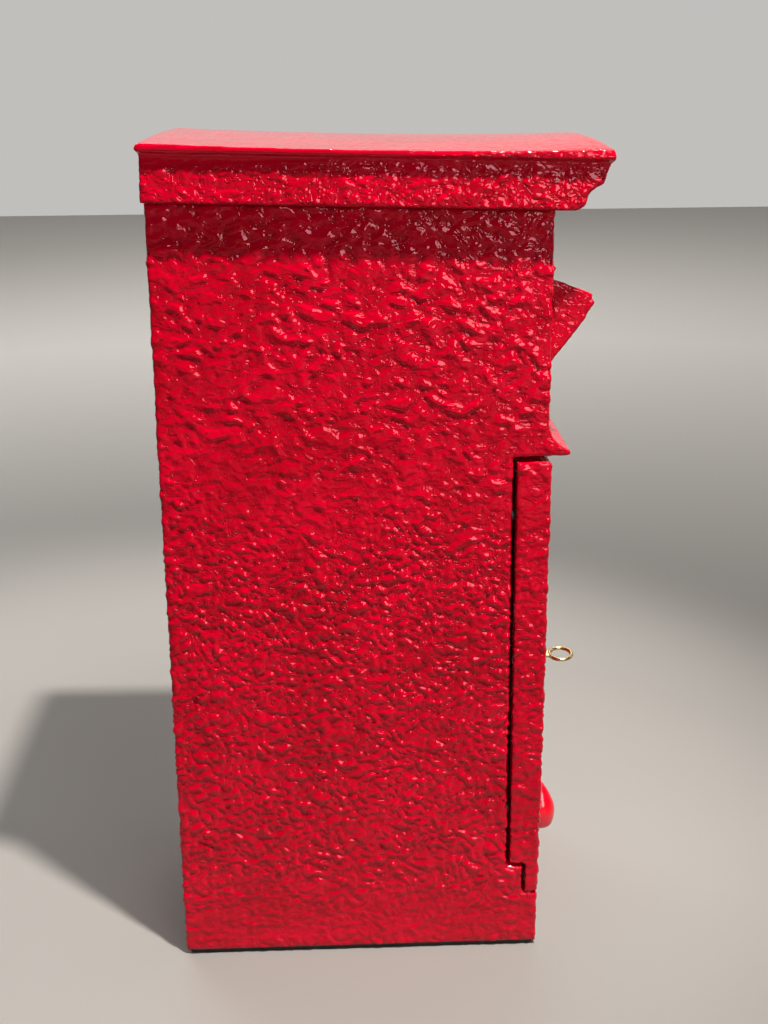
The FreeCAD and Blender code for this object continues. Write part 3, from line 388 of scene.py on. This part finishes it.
def red_enamel():
    """Thick, glossy red enamel on a rough casting, darker in the hollows: partly where the enamel
    pools, partly painted shade in the creases.
    """
    s = Shader("red_enamel", IOR=1.47, Specular_Tint=(1.0, 0.58, 0.63, 1.0))
    hollow = s.add("ShaderNodeAttribute", attribute_name="hollow").outputs["Fac"]
    rough = s.add("ShaderNodeAttribute", attribute_name="rough").outputs["Fac"]
    clouds = s.spread(s.noise(0.055, 4.0), 0.35, 0.65, 0.0, 1.0)
    base = s.blend(clouds, (0.47, 0.0, 0.012), (0.59, 0.0, 0.018))
    # Painted shade: deep in the hollows the base colour moves towards a dark red (0.27, 0, 0.006). This
    # is partly pooled enamel and partly a stand-in for shade in the creases.
    base = s.blend(s.spread(hollow, 0.3, 1.0, 0.0, 0.5), base, (0.27, 0.0, 0.006))
    gloss = s.spread(s.noise(0.012, 4.0), 0.3, 0.7, 0.04, 0.09)
    lumps = s.product(s.noise(0.0075, 1.0, (1, 0.8, 1.2), 0.5), s.spread(rough, 0.0, 0.8, 0.15, 1.0))
    skin = s.bump(lumps, 0.0022, 0.7)
    crinkle = s.product(s.noise(0.0034, 1.0, (1, 1, 1), 0.8), s.spread(hollow, 0.25, 1.0, 0.0, 1.0))
    return s.finish(base, gloss, s.bump(crinkle, 0.0010, 0.7, skin))


def red_gloss():
    """Smooth, bright red paint."""
    s = Shader("red_gloss", IOR=1.5, Coat_Weight=0.5, Coat_Roughness=0.05)
    base = s.blend(s.noise(0.02, 3.0), (0.70, 0.0, 0.012), (0.80, 0.003, 0.022))
    gloss = s.spread(s.noise(0.004, 4.0), 0.3, 0.7, 0.12, 0.22)
    return s.finish(base, gloss, s.bump(s.noise(0.003, 3.0), 0.0002, 0.3))


def red_sheet():
    """Red paint on flat sheet steel, with a fine orange peel."""
    s = Shader("red_sheet", IOR=1.5)
    base = s.blend(s.noise(0.03, 4.0), (0.48, 0.0, 0.008), (0.58, 0.002, 0.014))
    gloss = s.spread(s.noise(0.006, 4.0), 0.3, 0.7, 0.28, 0.42)
    return s.finish(base, gloss, s.bump(s.noise(0.0016, 2.0), 0.0002, 0.5))


def metal(name, dark, light, low, high, grain=(1, 1, 1)):
    """Bare or plated metal with fine scratches and dull patches."""
    s = Shader(name, Metallic=1.0)
    base = s.blend(s.noise(0.006, 5.0), dark, light)
    gloss = s.spread(s.noise(0.0022, 6.0, grain), 0.3, 0.7, low, high)
    return s.finish(base, gloss, s.bump(s.noise(0.0007, 3.0, grain), 0.00005, 0.4))


def black_rubber():
    """Matt black rubber with a fine moulded grain."""
    s = Shader("black_rubber", IOR=1.45)
    base = s.blend(s.noise(0.01, 5.0), (0.012, 0.012, 0.013), (0.03, 0.029, 0.028))
    gloss = s.spread(s.noise(0.004, 4.0), 0.3, 0.7, 0.6, 0.8)
    return s.finish(base, gloss, s.bump(s.noise(0.0012, 2.0), 0.0002, 0.6))


def floor_material():
    """The plain pale floor, paler far from the object."""
    s = Shader("floor", IOR=1.45, Roughness=0.6)
    near = s.blend(s.noise(0.4, 2.0), (0.245, 0.23, 0.21), (0.265, 0.25, 0.23))
    length = s.add("ShaderNodeVectorMath", operation="LENGTH")
    s.link(s.place, length.inputs[0])
    far = s.spread(length.outputs["Value"], 0.5, 2.6, 0.0, 1.0)
    return s.finish(s.blend(far, near, (0.80, 0.76, 0.71)))


MATERIALS = {
    "red_enamel": red_enamel(),
    "red_gloss": red_gloss(),
    "red_sheet": red_sheet(),
    "steel_sheet": metal("steel_sheet", (0.42, 0.43, 0.44), (0.58, 0.59, 0.6), 0.28, 0.42, (1, 1, 0.2)),
    "steel_fastener": metal("steel_fastener", (0.45, 0.45, 0.46), (0.63, 0.63, 0.64), 0.22, 0.36),
    "brass": metal("brass", (0.56, 0.38, 0.14), (0.78, 0.6, 0.3), 0.16, 0.3),
    "lock_metal": metal("lock_metal", (0.55, 0.55, 0.56), (0.72, 0.71, 0.7), 0.12, 0.24),
    "black_rubber": black_rubber(),
}


def dress_nodes():
    """Give each CAD node the material of its slot."""
    for part in frame["record"]["subparts"]:
        node = frame["nodes"][part["node"]]
        node.data.materials.clear()
        node.data.materials.append(MATERIALS[part["material_slot"]])


# ------------------------------------------------------------------ pieces
SKIN_STEP = 1.35 * MM
HOOD_STEP = 1.2 * MM
WALL = 4.0 * MM


def castings():
    """The four castings with their rough enamel skin, the body as three lighter pieces."""
    middle = even_copy("body_shell", "body_casting", SKIN_STEP)
    roughen(middle, cast_relief, body_share)
    left = copy_of(middle, "body_casting_left")
    right = copy_of(middle, "body_casting_right")
    seam = BODY_HIGH.x - WALL
    keep_side(left, [(-seam, 1)])
    keep_side(right, [(seam, -1)])
    keep_side(middle, [(seam, 1), (-seam, -1)])
    thin_out(middle, 150_000)
    cap = even_copy("cornice_cap", "cap_casting", SKIN_STEP)
    roughen(cap, fine_relief, cap_share)
    thin_out(cap, 180_000)
    leaf = even_copy("door", "door_casting", SKIN_STEP)
    roughen(leaf, cast_relief, door_share)
    thin_out(leaf, 150_000)
    hood = even_copy("rain_hood", "hood_casting", HOOD_STEP, 2)
    roughen(hood, fine_relief, hood_share)
    for pieces, node, body in (
        ((middle, left, right), "body_shell", "case"),
        ((cap,), "cornice_cap", "case"),
        ((hood,), "rain_hood", "case"),
        ((leaf,), "door", "door"),
    ):
        for piece in pieces:
            piece.data.materials.append(MATERIALS["red_enamel"])
            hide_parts(node)
            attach(piece, body)


# ------------------------------------------------------------------- stage
def place_light(data, place, target, power, colour):
    """Put a light in the scene, aimed at a point."""
    data.energy = power
    data.color = colour
    lamp = bpy.data.objects.new(data.name, data)
    lamp.location = place
    lamp.rotation_euler = (Vector(target) - Vector(place)).to_track_quat("-Z", "Y").to_euler()
    bpy.context.scene.collection.objects.link(lamp)


def area_light(name, place, target, width, power, colour):
    """A soft round light of a width in metres."""
    data = bpy.data.lights.new(name, "AREA")
    data.shape = "DISK"
    data.size = width
    place_light(data, place, target, power, colour)


def spot_light(name, place, target, radius, spread, power, colour):
    """A spotlight of a cone angle in degrees."""
    data = bpy.data.lights.new(name, "SPOT")
    data.shadow_soft_size = radius
    data.spot_size = math.radians(spread)
    data.spot_blend = 0.8
    place_light(data, place, target, power, colour)


def surroundings():
    """Pale surroundings that are brighter beyond the object's right side."""
    world = bpy.data.worlds.new("surroundings")
    world.use_nodes = True
    tree = world.node_tree
    ways = tree.nodes.new("ShaderNodeTexCoord")
    parts = tree.nodes.new("ShaderNodeSeparateXYZ")
    ramp = tree.nodes.new("ShaderNodeMapRange")
    ramp.interpolation_type = "SMOOTHSTEP"
    for socket, value in zip(RANGE_SOCKETS, (0.0, 0.7, 0.035, 0.56)):
        ramp.inputs[socket].default_value = value
    background = tree.nodes["Background"]
    background.inputs["Color"].default_value = (0.95, 0.93, 0.90, 1.0)
    tree.links.new(ways.outputs["Generated"], parts.inputs["Vector"])
    tree.links.new(parts.outputs["X"], ramp.inputs["Value"])
    tree.links.new(ramp.outputs["Result"], background.inputs["Strength"])
    return world


def stage():
    """The floor, the soft surroundings and the lights."""
    mesh = bpy.data.meshes.new("floor")
    edge = 6.0
    corners = [(-edge, -edge, 0), (edge, -edge, 0), (edge, edge, 0), (-edge, edge, 0)]
    mesh.from_pydata(corners, [], [(0, 1, 2, 3)])
    floor = bpy.data.objects.new("floor", mesh)
    floor.data.materials.append(floor_material())
    bpy.context.scene.collection.objects.link(floor)

    bpy.context.scene.world = surroundings()
    middle = Vector((0.0, 0.0, 0.38))
    travel = Vector((0.225, 0.155, -0.64)).normalized()
    spot_light("key", middle - travel * 2.6, middle, 0.07, 30.0, 600.0, (1.0, 0.97, 0.94))
    area_light("sheen", (-2.4, -0.95, 1.05), middle, 1.0, 18.0, (1.0, 0.97, 0.95))
    area_light("front_fill", (0.3, -2.6, 1.4), middle, 1.0, 6.0, (1.0, 0.97, 0.94))
    area_light("back_fill", (2.0, 1.4, 2.4), middle, 1.2, 22.0, (0.97, 0.98, 1.0))
    area_light("far_floor", (2.6, 0.0, 2.8), (2.8, 0.0, 0.0), 2.2, 40.0, (1.0, 0.98, 0.96))
    scene = bpy.context.scene
    scene.view_settings.view_transform = "Standard"


aim_camera()
dress_nodes()
castings()
stage()
